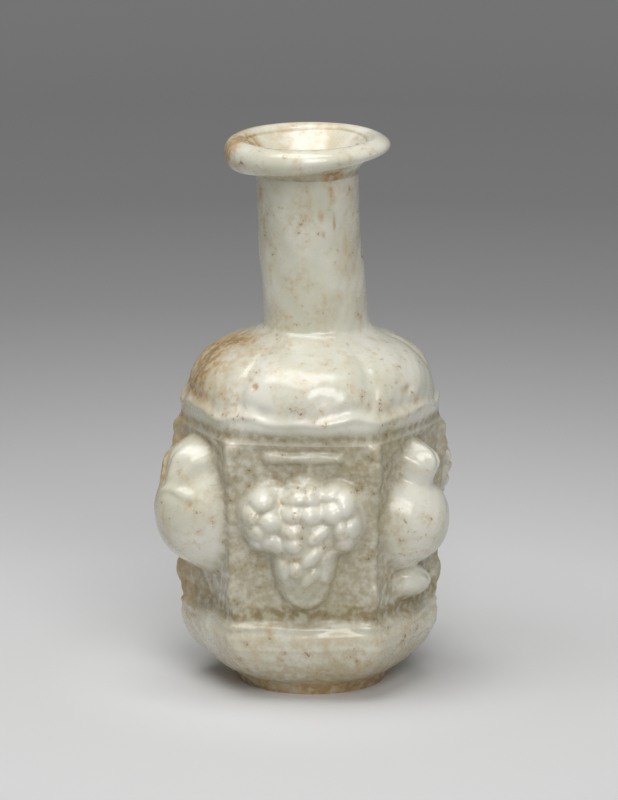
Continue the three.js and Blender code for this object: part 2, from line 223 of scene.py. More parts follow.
def underside_detail(turn, level):
    """How far the wall stands out here, its soil and painted shade, and its brown: half circles round
    the slope, and soil with painted shade and wear that fade upwards."""
    to_tongue = np.abs(((turn * TONGUES_PER_SIDE) % 1.0) - 0.5) * 2.0
    on_slope = smooth_step(level, *TONGUE_FOOT) * fading(level, TONGUE_HEIGHT, *TONGUE_HEAD)
    brown = np.maximum(fading(level, *LOWER_BROWN), fading(level, *FOOT_BROWN))
    return on_slope * (dome(to_tongue) - 0.5), fading(level, *UNDERSIDE_SOIL_AND_SHADE), brown


wall_details.append(underside_detail)

# The lower moulding: the raised band of glass under the panels, a ridge, a groove and a second
# ridge that waver round the bottle as the soft glass took the mould. Soil and painted shade darken
# the recessed strip over it.
WAVES_BEGIN = (MOULDING_LEVEL - 1.4, MOULDING_LEVEL + 1.1)
STRIP_SOIL_AND_SHADE_LEVEL, STRIP_SOIL_AND_SHADE_HALF_HEIGHT = 1.4, 1.8
BAND_BROWN, BAND_BROWN_LEVEL, BAND_BROWN_HALF_HEIGHT = 0.38, -2.4, 1.7
# Height, level over the moulding's head, and half width of each line
MOULDING_LINES = ((0.28, -0.35, 0.45), (-0.2, -1.3, 0.4), (0.16, -3.9, 0.4))
# Height, radians to a turn, and radians at the start of each wave
MOULDING_WAVES = ((0.22, 5.3, 0.8), (0.16, 11.7, 2.0))


def bell(value, middle, half_width):
    """A bell curve, 1 at the middle: e to the minus square of the distance in half widths."""
    return np.exp(-(((value - middle) / half_width) ** 2))


def moulding_detail(turn, level):
    """Bell-shaped ridges and a groove, moved up and down by two waves round the bottle."""
    waver = sum(height * np.sin(turn * pace + start) for height, pace, start in MOULDING_WAVES)
    over_head = level - PANEL_LEVEL + waver * smooth_step(level, *WAVES_BEGIN)
    out = sum(height * bell(over_head, middle, half) for height, middle, half in MOULDING_LINES)
    # Painted shade, with soil, in the recessed strip at the foot of the panels
    soil_and_shade = bell(over_head, STRIP_SOIL_AND_SHADE_LEVEL, STRIP_SOIL_AND_SHADE_HALF_HEIGHT)
    brown = BAND_BROWN * bell(over_head, BAND_BROWN_LEVEL, BAND_BROWN_HALF_HEIGHT)
    return out, soil_and_shade, brown


wall_details.append(moulding_detail)

# The corner ribs: where two panels of the mould met, the glass stands up in a low rib with a knob
# near each end and a bead at its head. Tan weathering runs down the left of the body.
RIB_HEIGHT, RIB_WIDTH = 0.5, 1.5
RIB_ENDS = (-0.6, 1.2)
# Distance from the corner, distance from the panel's end, half width, half height, depth
KNOB = (0.0, 3.9, 1.7, 1.7, 0.55)
HEAD_BEAD = (0.0, 1.2, 1.5, 1.6, 0.3)
HILL_CROWN = 0.85
LEFT_BROWN, LEFT_BROWN_TURN, LEFT_BROWN_HALF_TURN = 0.5, 5.1, 0.4
LEFT_BROWN_BEGINS = (6.0, 12.0)
PANEL_MIDDLE = PANEL_LEVEL + PANEL_HEIGHT / 2


def around(turn, centre):
    """The distance round the bottle from a turn, from -3 to 3."""
    return (turn - centre + SIDES / 2) % SIDES - SIDES / 2


def place_on_panel(turn, level):
    """Distances on a side: across and up from the panel's middle, in from its nearer corner, and
    in from its nearer end."""
    width = SIDE_WIDTHS[side_of(turn)] * profile_at(level, RADIUS)
    across = (turn - side_of(turn) - 0.5) * width
    up = level - PANEL_MIDDLE
    return across, up, width / 2 - np.abs(across), PANEL_HEIGHT / 2 - np.abs(up)


def hill(across, up, middle_across, middle_up, half_width, half_height, depth, lean=0.0):
    """A swelling: an ellipse in plan, leaning by some degrees, and round in section up to a share
    of its width, from which its foot runs out straight."""
    cosine, sine = math.cos(math.radians(lean)), math.sin(math.radians(lean))
    x, y = across - middle_across, up - middle_up
    spread = np.hypot((x * cosine + y * sine) / half_width, (y * cosine - x * sine) / half_height)
    crown_edge = math.sqrt(1 - HILL_CROWN**2)
    foot = np.clip(crown_edge - (spread - HILL_CROWN) * HILL_CROWN / crown_edge, 0.0, 1.0)
    return depth * np.where(spread < HILL_CROWN, dome(spread), foot)


def rib_detail(turn, level):
    """A ridge that falls smoothly from the corner, with swellings on it, on the panels alone."""
    across, up, to_corner, to_end = place_on_panel(turn, level)
    rib = fading(to_corner, RIB_HEIGHT, 0.0, RIB_WIDTH) * smooth_step(to_end, *RIB_ENDS)
    bead = np.where(up > 0, hill(to_corner, to_end, *HEAD_BEAD), 0.0)
    knobs = np.maximum(hill(to_corner, to_end, *KNOB), bead)
    down_left = bell(around(turn, LEFT_BROWN_TURN), 0.0, LEFT_BROWN_HALF_TURN)
    brown = LEFT_BROWN * down_left * smooth_step(level, *LEFT_BROWN_BEGINS) * (level < SHOULDER_LEVEL)
    return np.where(to_end > 0, rib + knobs, 0.0), np.zeros_like(level), brown


wall_details.append(rib_detail)

# The front panel: a bunch of grapes in glass, hanging from a bar by a short stem. The bunch was
# cut in the mould as three soft lobes with the single grapes standing on them.
LOBE_BLEND = 1.6
GRAPE_FULLNESS, GRAPE_DEPTH = 1.12, 1.05
BAR_UP, BAR_HALF_THICKNESS, BAR_DEPTH = 11.2, 0.93, 1.5
STEM_ACROSS, STEM_HALF_WIDTH, STEM_DEPTH = 0.9, 0.85, 1.2
# Strengths of the painted shade, with soil, on a panel's flat round its fruit and in the creases between
# grapes
PANEL_SOIL_AND_SHADE = 0.62
CREASE_SOIL_AND_SHADE = 0.35
HEAD_BROWN = 0.35
# Each swelling: across, up, half width, half height, depth, and degrees that it leans
GRAPE_LOBES = (
    (-4.7, 2.5, 4.1, 4.8, 4.2),
    (4.9, 2.6, 4.0, 5.0, 4.3),
    (0.2, -1.0, 4.5, 9.3, 5.0),
)
SHOOTS = ((6.4, -7.8, 1.6, 1.3, 0.6), (-8.3, -4.0, 0.8, 3.0, 0.5))
SLANTED_GRAPES = (
    (2.4, 0.9, 1.7, 0.95, 0.9, 40.0),
    (1.8, -2.2, 2.3, 1.0, 0.9, 38.0),
    (1.4, -5.3, 2.0, 0.95, 0.9, 42.0),
)
# Across, up, half width and half height of each grape, drawn a little fuller than this
GRAPES = (
    (-2.7, 7.5, 0.9, 0.8), (-1.4, 6.1, 1.5, 1.1), (1.4, 6.3, 1.2, 1.2), (3.6, 7.0, 1.6, 1.3),
    (6.2, 5.4, 1.1, 1.7), (-5.8, 5.6, 1.5, 1.3), (-1.4, 3.8, 1.2, 1.1), (1.5, 3.8, 1.3, 1.2),
    (4.2, 4.0, 1.3, 1.3), (-4.5, 2.6, 1.5, 1.2), (-7.4, 3.3, 1.0, 1.3), (-6.6, 0.9, 1.2, 1.2),
    (5.6, 1.3, 0.9, 1.4), (7.4, 1.6, 0.9, 1.4), (-1.5, 1.3, 1.3, 1.1), (-1.3, -0.5, 1.2, 1.1),
    (4.2, -2.9, 1.2, 1.2), (6.1, -1.0, 1.2, 1.3), (-4.1, -0.9, 1.4, 1.3), (-6.8, -1.6, 1.0, 1.3),
    (-3.1, -4.5, 1.2, 1.5), (-1.0, -4.2, 1.0, 1.1), (3.9, -5.2, 1.1, 1.4),
)
# Each stain: across, up, half width, half height and strength
GRAPE_STAINS = (
    (-2.9, 5.2, 0.35, 0.3, 0.8),
    (-0.4, -2.4, 0.5, 0.6, 0.75),
    (1.4, -1.0, 0.5, 0.5, 0.5),
    (-6.0, 11.0, 0.5, 0.4, 0.6),
    (0.3, -7.5, 0.5, 0.5, 0.45),
    (-2.2, 0.9, 0.5, 0.4, 0.4),
)
panel_fruit = []


def union(first, second, blend=0.3):
    """The larger of two heights, with the crease between them filled where the two are nearly
    alike, and nothing added where either is flat."""
    alike = np.clip(1 - np.abs(first - second) / blend, 0.0, 1.0)
    both = np.clip(np.minimum(first, second) / blend, 0.0, 1.0)
    return np.maximum(first, second) + alike**2 * both * blend / 4


def spot(across, up, middle_across, middle_up, half_width, half_height):
    """A soft round mark, 1 in its middle: a bell across times a bell up."""
    return bell(across, middle_across, half_width) * bell(up, middle_up, half_height)


def stains(across, up, marks):
    """Soft marks on a panel, added up: a spot for each, times its strength."""
    return sum(strength * spot(across, up, *place) for *place, strength in marks)


def flatness(height, clear_height=2.4):
    """1 on the flat of a panel and 0 on the fruit: a smooth fall over the fruit's foot."""
    return 1 - smooth_step(height, 0.3, clear_height)


def grape_panel(across, up):
    """Lobes joined by rounded creases, with grapes on them as the highest of many swellings, a line
    round the lowest lobe, and the bar and stem as half cylinders. Painted shade, with soil, darkens
    the creases between the grapes and the flat round the bunch."""
    body = np.zeros_like(across)
    for lobe in GRAPE_LOBES:
        body = union(body, hill(across, up, *lobe), LOBE_BLEND)
    grapes = np.zeros_like(across)
    for middle_across, middle_up, half_width, half_height in GRAPES:
        half_sizes = half_width * GRAPE_FULLNESS, half_height * GRAPE_FULLNESS
        grapes = np.maximum(grapes, hill(across, up, middle_across, middle_up, *half_sizes, GRAPE_DEPTH))
    for grape in SLANTED_GRAPES:
        grapes = np.maximum(grapes, hill(across, up, *grape))
    lowest_lobe = np.hypot((across - 0.4) / 3.2, (up + 6.3) / 3.9)
    lobe_line = 0.65 * bell(lowest_lobe, 1.0, 0.16) * smooth_step(-up, 4.5, 6.5)
    height = body + grapes * smooth_step(body, 0.3, 2.0) + lobe_line
    bar_thickness = BAR_HALF_THICKNESS + 0.15 * np.sin(across * 1.1)
    bar_ends = smooth_step(across, -6.6, -4.8) * (1 - smooth_step(across, 5.0, 6.0))
    bar = BAR_DEPTH * dome((up - BAR_UP) / bar_thickness) * bar_ends
    stem = STEM_DEPTH * dome((across - STEM_ACROSS) / STEM_HALF_WIDTH)
    stem_ends = smooth_step(up, 5.5, 8.0) * (1 - smooth_step(up, 10.6, 11.4))
    height = union(union(height, bar), stem * stem_ends)
    height = height + sum(hill(across, up, *shoot) for shoot in SHOOTS)
    # Painted shade, with soil: darker in the creases between grapes and on the flat round the bunch
    creases = CREASE_SOIL_AND_SHADE * smooth_step(0.75 - grapes, 0.1, 0.7) * smooth_step(body, 0.6, 2.4)
    soil_and_shade = np.maximum(PANEL_SOIL_AND_SHADE * flatness(height, 2.6), creases)
    brown = stains(across, up, GRAPE_STAINS) + HEAD_BROWN * smooth_step(up, 11.0, 13.5)
    return height, soil_and_shade, np.clip(brown, 0, 1)


panel_fruit.append(grape_panel)

# The panel to the right of it: a pomegranate in glass, round and smooth, hanging with its flared
# crown turned up, and a low leaf with curved ribs under it.
POMEGRANATE_BODY = (0.2, 0.4, 6.6, 6.6, 6.6)
POMEGRANATE_CROWN = (0.3, 8.3, 3.1, 3.7, 4.7)
POMEGRANATE_LEAF = (0.9, -8.8, 3.8, 2.6, 3.4)
CROWN_BLEND, LEAF_BLEND = 2.4, 0.6
SEPALS = (
    (-3.0, 10.4, 0.7, 2.6, 0.9, 24.0),
    (-0.4, 10.6, 0.6, 2.6, 0.78, 0.0),
    (2.6, 10.2, 0.7, 2.5, 0.84, -24.0),
)
POMEGRANATE_STAINS = (
    (-1.7, -1.4, 1.2, 0.9, 0.45),
    (-4.2, -2.7, 0.7, 0.5, 0.4),
    (-5.3, -6.5, 0.5, 0.5, 0.7),
    (2.0, -10.5, 1.6, 1.0, 0.5),
)


def pomegranate_panel(across, up):
    """A round body and a narrower crown joined softly, with sepals splayed over the crown, and two
    ribs on the leaf that follow ellipses round its corner."""
    body = union(hill(across, up, *POMEGRANATE_BODY), hill(across, up, *POMEGRANATE_CROWN), CROWN_BLEND)
    body = body + sum(hill(across, up, *sepal) for sepal in SEPALS)
    arch = np.hypot((across + 1.4) / 4.6, (up + 10.5) / 4.4)
    ribs = 0.45 * bell(arch, 1.0, 0.09) + 0.4 * bell(arch, 0.72, 0.08)
    on_leaf = smooth_step(up, -11.5, -9.5) * (1 - smooth_step(up, -6.6, -5.2))
    height = union(body, hill(across, up, *POMEGRANATE_LEAF), LEAF_BLEND) + ribs * on_leaf
    brown = stains(across, up, POMEGRANATE_STAINS)
    # The flat round the fruit is darkened as painted shade, with soil
    return height, PANEL_SOIL_AND_SHADE * flatness(height), np.clip(brown, 0, 1)


panel_fruit.append(pomegranate_panel)

# The panel behind that, of which the photograph shows only the bumpy edge: a cone-like fruit in
# glass, covered with small scales in staggered rows.
CONE_BODIES = ((0.0, 3.8, 6.1, 7.4, 6.9), (0.0, -6.8, 2.9, 4.2, 3.2))
CONE_BLEND = 0.8
SCALE_PITCH, SCALE_DEPTH, SCALE_SOIL_AND_SHADE = (2.4, 1.9), 0.75, 0.4
REAR_BROWN = 0.22


def staggered_rows(across, up, pitch):
    """A product of two waves, one across and one up, above zero on every bump of staggered rows."""
    return np.cos(2 * math.pi * across / pitch[0]) * np.cos(math.pi * up / pitch[1])


def cone_panel(across, up):
    """Two swellings with scales on them: the root of the staggered waves where they are above zero."""
    body = union(hill(across, up, *CONE_BODIES[0]), hill(across, up, *CONE_BODIES[1]), CONE_BLEND)
    wave = staggered_rows(across, up, SCALE_PITCH)
    height = body + SCALE_DEPTH * np.sqrt(np.clip(wave, 0, 1)) * smooth_step(body, 0.5, 2.5)
    # Painted shade, with soil, on the flat round the fruit and in the troughs between the scales
    soil_and_shade = np.maximum(PANEL_SOIL_AND_SHADE * flatness(height), fading(wave, SCALE_SOIL_AND_SHADE, -0.2, 0.4))
    return height, soil_and_shade, REAR_BROWN * flatness(height)


panel_fruit.append(cone_panel)

# The rear panel, which the photograph doesn't show: a second bunch of grapes in glass, as other
# bottles from such moulds have there, with its grapes in staggered rows.
REAR_LOBES = ((-4.5, 3.4, 3.9, 4.3, 4.9), (4.5, 3.4, 3.9, 4.3, 4.9), (0.0, -0.6, 4.3, 8.8, 5.9))
REAR_STEM = (0.0, 10.6, 1.0, 2.0, 1.3)
REAR_BLEND = 0.8
REAR_PITCH, REAR_GRAPE_DEPTH, REAR_GRAPE_SOIL_AND_SHADE = (2.7, 2.2), 1.0, 0.35
REAR_PULL = 0.3


def rear_grape_panel(across, up):
    """Three lobes and a stem, with grapes in staggered rows that two waves pull out of line."""
    body = np.zeros_like(across)
    for lobe in REAR_LOBES:
        body = union(body, hill(across, up, *lobe), REAR_BLEND)
    pulled_across = across + REAR_PULL * np.sin(up * 0.9)
    pulled_up = up + REAR_PULL * np.sin(across * 0.8 + 1.0)
    wave = staggered_rows(pulled_across, pulled_up, REAR_PITCH)
    height = body + REAR_GRAPE_DEPTH * np.sqrt(np.clip(wave, 0, 1)) * smooth_step(body, 0.5, 2.2)
    height = union(height, hill(across, up, *REAR_STEM))
    # Painted shade, with soil, on the flat round the bunch and in the troughs between the grapes
    soil_and_shade = np.maximum(PANEL_SOIL_AND_SHADE * flatness(height), fading(wave, REAR_GRAPE_SOIL_AND_SHADE, -0.2, 0.4))
    return height, soil_and_shade, REAR_BROWN * flatness(height)


panel_fruit.append(rear_grape_panel)

# The rear left panel, of which only the edge shows: a quince in glass, plump and smooth, with a
# ribbed leaf under it.
QUINCE_BODY = (0.0, 2.6, 6.5, 7.1, 8.2)
QUINCE_LEAF = (0.0, -8.0, 2.8, 3.0, 3.0)
QUINCE_LOBES, QUINCE_LOBE_SHARE = 5, 0.02
LEAF_RIB_HEIGHT, LEAF_RIB_HALF_WIDTH = 0.3, 0.3
QUINCE_BROWN = 0.25


def quince_panel(across, up):
    """A plump body whose height waves a little round it, joined softly to a leaf with one rib."""
    round_body = np.arctan2(across, up - QUINCE_BODY[1])
    body = hill(across, up, *QUINCE_BODY) * (1 + QUINCE_LOBE_SHARE * np.cos(QUINCE_LOBES * round_body))
    rib = LEAF_RIB_HEIGHT * bell(across, 0.0, LEAF_RIB_HALF_WIDTH) * smooth_step(-up, 5.5, 7.0)
    height = union(body, hill(across, up, *QUINCE_LEAF) + rib, LEAF_BLEND)
    # The flat round the fruit is darkened as painted shade, with soil
    return height, PANEL_SOIL_AND_SHADE * flatness(height), QUINCE_BROWN * flatness(height)


panel_fruit.append(quince_panel)

# The left panel: a citron in glass, tall and oval, under a leafy cap. Brown weathering runs down
# its left side.
CITRON_BODY = (0.2, 1.2, 6.6, 7.9, 8.0)
CITRON_CAP = (-0.6, 8.0, 4.9, 4.1, 5.6)
CITRON_FOOT_BEAD = (-0.6, -11.0, 1.6, 0.8, 0.5)
CAP_BLEND = 3.0
CAP_LEAVES = (
    (-2.6, 8.4, 0.7, 3.0, 0.54, 18.0),
    (0.6, 9.0, 0.7, 2.9, 0.48, 0.0),
    (3.0, 8.6, 0.7, 2.8, 0.48, -20.0),
)
CAP_EDGE_UP, CAP_EDGE_HEIGHT, CAP_EDGE_HALF_WIDTH = 5.2, 0.45, 0.55
CITRON_DENT = (4.6, 3.8, 0.35, 0.9)
CITRON_DENT_DEPTH = 0.3
CITRON_LEFT_BROWN = (-2.8, 6.0, 2.2, 6.5)
CITRON_STAINS = (
    (4.6, 3.8, 0.4, 0.8, 0.7),
    (1.6, -2.4, 0.7, 0.5, 0.5),
    (-0.6, -10.6, 1.2, 0.9, 0.6),
    (2.7, -6.0, 0.5, 0.4, 0.6),
)


def citron_panel(across, up):
    """An oval body and a cap joined softly, with raised leaf edges on the cap, a wavy line where the
    cap ends, and a small dent beside it."""
    height = union(hill(across, up, *CITRON_BODY), hill(across, up, *CITRON_CAP), CAP_BLEND)
    height = height + sum(hill(across, up, *leaf) for leaf in CAP_LEAVES)
    edge = CAP_EDGE_HEIGHT * bell(up, CAP_EDGE_UP + 0.5 * np.sin(across * 0.9), CAP_EDGE_HALF_WIDTH)
    height = height + edge * smooth_step(across, -2.5, 1.0) * (1 - smooth_step(across, 4.2, 6.2))
    height = height - CITRON_DENT_DEPTH * spot(across, up, *CITRON_DENT)
    height = height + hill(across, up, *CITRON_FOOT_BEAD)
    brown = 0.95 * spot(across, up, *CITRON_LEFT_BROWN) * smooth_step(-across, -2.2, 1.2)
    brown = brown + stains(across, up, CITRON_STAINS)
    # The flat round the fruit is darkened as painted shade, with soil
    return height, PANEL_SOIL_AND_SHADE * flatness(height), np.clip(brown, 0, 1)


panel_fruit.append(citron_panel)

# The cornice: the band of glass between the panels and the shoulder's ledge. A rib round the mould
# drew it in, and the recess under the ledge is darkened with soil and painted shade.
RECESS_LEVEL = CORNICE_LEVEL + 1.1
RECESS_HALF_HEIGHT, RECESS_DEPTH, RECESS_SOIL_AND_SHADE = 0.9, 0.3, 0.75


def cornice_detail(turn, level):
    """One bell-shaped recess round the bottle, darkened with soil and painted shade."""
    recess = bell(level, RECESS_LEVEL, RECESS_HALF_HEIGHT)
    # The recess is darkened with soil and painted shade
    return -RECESS_DEPTH * recess, RECESS_SOIL_AND_SHADE * recess, np.zeros_like(level)


wall_details.append(cornice_detail)

# The shoulder: a dome of glass, blown into six soft lobes over a ledge that waves, with a groove
# between two lobes and shallow dimples. Burial has stained its left amber.
LEDGE_RISE, LEDGE_HALF_HEIGHT, LEDGE_OUT = 0.1, 0.5, 0.3
HOLLOW_RISE, HOLLOW_HALF_HEIGHT, HOLLOW_DEPTH = 1.5, 0.7, 0.16
GROOVE_HALF_TURN, GROOVE_DEPTH = 0.07, 0.35
AMBER, AMBER_TURN, AMBER_HALF_TURN = 0.85, 5.2, 0.62
# Height, waves to a turn, and radians at the start
LEDGE_WAVES = ((0.35, 1.5, 0.4), (0.2, 2.7, 0.0))
# Each mark: turn, height over the section's foot, half width in turns, half height, depth or strength
SHOULDER_DIMPLES = (
    (0.22, 1.0, 0.06, 0.9, 0.35),
    (0.62, 3.2, 0.09, 1.2, 0.16),
    (0.74, 1.6, 0.07, 0.8, 0.2),
    (0.12, 4.6, 0.02, 0.35, 0.5),
    (1.4, 3.5, 0.03, 0.5, 0.4),
    (2.6, 3.8, 0.07, 1.0, 0.35),
    (3.4, 2.4, 0.06, 0.9, 0.3),
    (4.5, 4.0, 0.06, 1.0, 0.3),
)
SHOULDER_STAINS = (
    (0.12, 4.6, 0.035, 0.6, 0.9),
    (0.25, 6.6, 0.10, 0.5, 0.45),
    (0.55, 6.8, 0.10, 0.4, 0.45),
    (0.05, 5.4, 0.05, 0.4, 0.5),
    (0.02, 3.4, 0.03, 0.6, 0.45),
    (1.35, 3.5, 0.06, 0.7, 0.6),
    (1.45, 1.6, 0.05, 0.5, 0.5),
    (2.3, 4.0, 0.12, 1.0, 0.4),
    (3.6, 3.0, 0.16, 1.4, 0.45),
)


def marks_round(turn, rise, marks):
    """Soft marks round the bottle, a layer for each: a spot at its turn and height, times its
    depth or strength."""
    return np.stack([
        size * spot(around(turn, centre), rise, 0.0, middle, half_turn, half_height)
        for centre, middle, half_turn, half_height, size in marks
    ])


def shoulder_detail(turn, level):
    """A ledge and the hollow over it as bells that two waves move up and down, a groove at each
    corner, and dimples. The stain is a bell round the bottle that fades at its foot and head."""
    rise = level - SHOULDER_LEVEL
    waves = sum(height * np.sin(turn * 2 * math.pi * pace + start) for height, pace, start in LEDGE_WAVES)
    out = LEDGE_OUT * bell(rise, LEDGE_RISE + waves, LEDGE_HALF_HEIGHT)
    out = out - HOLLOW_DEPTH * bell(rise, HOLLOW_RISE + waves, HOLLOW_HALF_HEIGHT)
    groove = GROOVE_DEPTH * bell(around(turn, np.round(turn)), 0.0, GROOVE_HALF_TURN)
    out = out - groove * smooth_step(rise, 0.3, 2.0) * (1 - smooth_step(rise, 8.0, 10.0))
    out = out - marks_round(turn, rise, SHOULDER_DIMPLES).sum(axis=0)
    amber = AMBER * bell(around(turn, AMBER_TURN), 0.0, AMBER_HALF_TURN)
    amber = amber * smooth_step(rise, -1.0, 2.0) * (1 - smooth_step(rise, 8.6, 10.6))
    brown = np.maximum(amber, marks_round(turn, rise, SHOULDER_STAINS).max(axis=0))
    return out, np.zeros_like(level), brown


wall_details.append(shoulder_detail)

# The neck: a plain tube of glass, drawn out by hand above the mould, so it leans and is uneven.
# Burial has left brown spots and tan streaks down it, and a dark patch under the lip.
NECK_STAINS = (
    (0.95, 19.6, 0.10, 1.9, 0.95),
    (5.46, 19.4, 0.10, 1.7, 0.75),
    (0.72, 16.6, 0.05, 0.9, 0.80),
    (0.97, 15.4, 0.04, 1.7, 0.65),
    (0.75, 14.0, 0.05, 0.7, 0.55),
    (0.70, 4.6, 0.05, 1.1, 0.65),
    (5.69, 7.0, 0.04, 0.8, 0.55),
    (5.70, 3.6, 0.05, 1.0, 0.50),
    (1.35, 10.0, 0.34, 9.5, 0.30),
    (0.98, 5.0, 0.16, 1.9, 0.42),
    (1.50, 18.5, 0.12, 3.0, 0.45),
    (5.30, 11.0, 0.06, 8.0, 0.35),
    (2.60, 14.0, 0.30, 5.0, 0.30),
    (3.90, 8.0, 0.20, 6.0, 0.35),
)


def neck_detail(turn, level):
    """No relief, and the strongest of its soft brown marks at each point."""
    brown = marks_round(turn, level - NECK_LEVEL, NECK_STAINS).max(axis=0)
    return np.zeros_like(level), np.zeros_like(level), brown


wall_details.append(neck_detail)

# The blowing: the hot glass took up the plan, the fruit and the details above, but rounded every
# edge, stayed slowly uneven all over, and followed the fruit less on its inside.
COLUMNS_PER_SIDE = 100
PANEL_MARGIN = 1.5
INNER_RELIEF = 0.45
UNEVENNESS = 0.26
RIPPLE = 0.085
STEADY_FOOT = (0.4, 1.5)
STEADY_HEAD = (LIP_LEVEL - 2.6, LIP_LEVEL - 0.6)
# How often the plan, and then the relief on it, is softened round the bottle and up it
PLAN_SOFTENING = (44, 8)
RELIEF_SOFTENING = (4, 4)
# Levels from and to, and the rows of points between them
ROWS = {
    "base_disc": (0.0, BASE_THICKNESS, 12),
    "underside": (BASE_THICKNESS, MOULDING_LEVEL, 34),
    "lower_moulding": (MOULDING_LEVEL, PANEL_LEVEL, 36),
    "panel": (PANEL_LEVEL, CORNICE_LEVEL, 208),
    "cornice": (CORNICE_LEVEL, SHOULDER_LEVEL, 26),
    "shoulder": (SHOULDER_LEVEL, NECK_LEVEL, 84),
    "neck": (NECK_LEVEL, LIP_LEVEL, 80),
}


def waviness(x, y, z):
    """The slow unevenness of blown glass: a few long sine waves that cross each other, from -1 to 1."""
    a = np.sin(0.31 * x + 0.17 * y + 0.23 * z + 0.6) + np.sin(-0.22 * x + 0.35 * y + 0.14 * z + 2.1)
    b = np.sin(0.55 * x - 0.41 * y + 0.33 * z + 4.0) + np.sin(0.83 * x + 0.62 * y - 0.71 * z + 1.3)
    return (a + 0.7 * b) / 3.4


def soften(height, fillet=0.7):
    """A height whose foot runs out into the panel on a fillet: the root of its square and the
    fillet's, less the fillet."""
    return np.sqrt(height**2 + fillet**2) - fillet


def settle(values, passes_round, passes_up):
    """Softens a grid as hot glass does over sharp edges: each pass gives a point half of itself
    and a quarter of each neighbour, first round the bottle and then up it."""
    for _ in range(passes_round):
        values = (np.roll(values, 1, axis=0) + 2 * values + np.roll(values, -1, axis=0)) / 4
    for _ in range(passes_up):
        held = np.concatenate([values[:, :1], values, values[:, -1:]], axis=1)
        values = (held[:, :-2] + 2 * held[:, 1:-1] + held[:, 2:]) / 4
    return values


def fruit_relief(turn, level):
    """How far the fruit stands out square to its side, with its soil and painted shade and its brown:
    each panel's own function, with a softened foot, held at nothing along the panel's edges."""
    across, up, to_corner, to_end = place_on_panel(turn, level)
    in_frame = smooth_step(to_corner, 0.0, PANEL_MARGIN) * smooth_step(to_end, 0.0, PANEL_MARGIN)
    square, soil_and_shade, brown = np.zeros((3, *level.shape))
    for side, fruit in enumerate(panel_fruit):
        here = (side_of(turn) == side) & (to_end > 0)
        height, soil_and_shade[here], brown[here] = fruit(across[here], up[here])
        square[here] = soften(height) * in_frame[here]
    return square, soil_and_shade, brown


def points_at(flat, level):
    """Points of the plan put at their level and moved sideways by the drift, in metres."""
    return np.stack([flat[..., 0] + drift(level), flat[..., 1], level], axis=-1) * MM


def outer_wall(turn, level):
    """The outside, with its soil and painted shade and its brown: the softened plan, moved square to
    each side by the fruit and outwards by the sum of the details, two sizes of unevenness added."""
    flat = plan(turn, profile_at(level, RADIUS), profile_at(level, ROUNDNESS))
    outward = flat / np.linalg.norm(flat, axis=-1, keepdims=True)
    flat = settle(flat, *PLAN_SOFTENING)
    square, fruit_soil_and_shade, fruit_brown = fruit_relief(turn, level)
    details = [detail(turn, level) for detail in wall_details]
    radial = sum(out for out, soil_and_shade, brown in details)
    all_soil_and_shade = np.maximum.reduce([fruit_soil_and_shade] + [soil_and_shade for out, soil_and_shade, brown in details])
    all_brown = np.maximum.reduce([fruit_brown] + [brown for out, soil_and_shade, brown in details])
    calm = smooth_step(level, *STEADY_FOOT) * (1 - smooth_step(level, *STEADY_HEAD))
    x, y = flat[..., 0], flat[..., 1]
    radial = radial + UNEVENNESS * calm * waviness(x, y, level)
    radial = radial + RIPPLE * calm * waviness(3.1 * x + 1.7, 3.3 * y, 2.9 * level)
    moved = SIDE_NORMALS[side_of(turn)] * square[..., None] + outward * radial[..., None]
    return points_at(flat + settle(moved, *RELIEF_SOFTENING), level), all_soil_and_shade, all_brown


def inner_wall(turn, level):
    """The inside: the plan one wall further in, moved square to each side by a share of the fruit."""
    flat = plan(turn, inner_radius(level), profile_at(level, ROUNDNESS))
    square = INNER_RELIEF * fruit_relief(turn, level)[0]
    return points_at(flat + SIDE_NORMALS[side_of(turn)] * square[..., None], level)


def grid_normals(points):
    """Normals of a closed grid of points, columns first: the cross product of the steps round and
    up, made one long."""
    round_step = np.roll(points, -1, axis=0) - np.roll(points, 1, axis=0)
    up_step = np.gradient(points, axis=1)
    normals = np.cross(round_step, up_step)
    return normals / np.maximum(np.linalg.norm(normals, axis=-1, keepdims=True), 1e-20)


level_runs = [np.linspace(start, end, count + 1)[:-1] for start, end, count in ROWS.values()]
levels = np.concatenate(level_runs + [[LIP_LEVEL]])
turns = np.linspace(0.0, SIDES, SIDES * COLUMNS_PER_SIDE + 1)[:-1]
outer_points, outer_soil_and_shade, outer_brown = outer_wall(*np.meshgrid(turns, levels, indexing="ij"))
outer_normals = grid_normals(outer_points)
first_row = {}
row_count = 0
for section, (start, end, count) in ROWS.items():
    first_row[section] = row_count
    row_count += count

# The white glass of every piece: opaque, softly glossy, ivory rather than pure white. Soil and
# painted shade darken its hollows, creases and the flats round the fruit, and burial has left tan
# and brown weathering, dark specks and streaks.
CLEAN_GLASS = (0.74, 0.725, 0.63)
GREY_GLASS = (0.60, 0.585, 0.46)
SOIL_AND_SHADE_COLOUR = (0.27, 0.215, 0.10)
TAN_WEATHERING = (0.50, 0.345, 0.155)
BROWN_WEATHERING = (0.23, 0.115, 0.04)
SPECK_COLOUR = (0.10, 0.06, 0.035)
FAINT_TAN_AMOUNT, STREAK_AMOUNT, SPECK_AMOUNT = 0.55, 0.4, 0.7
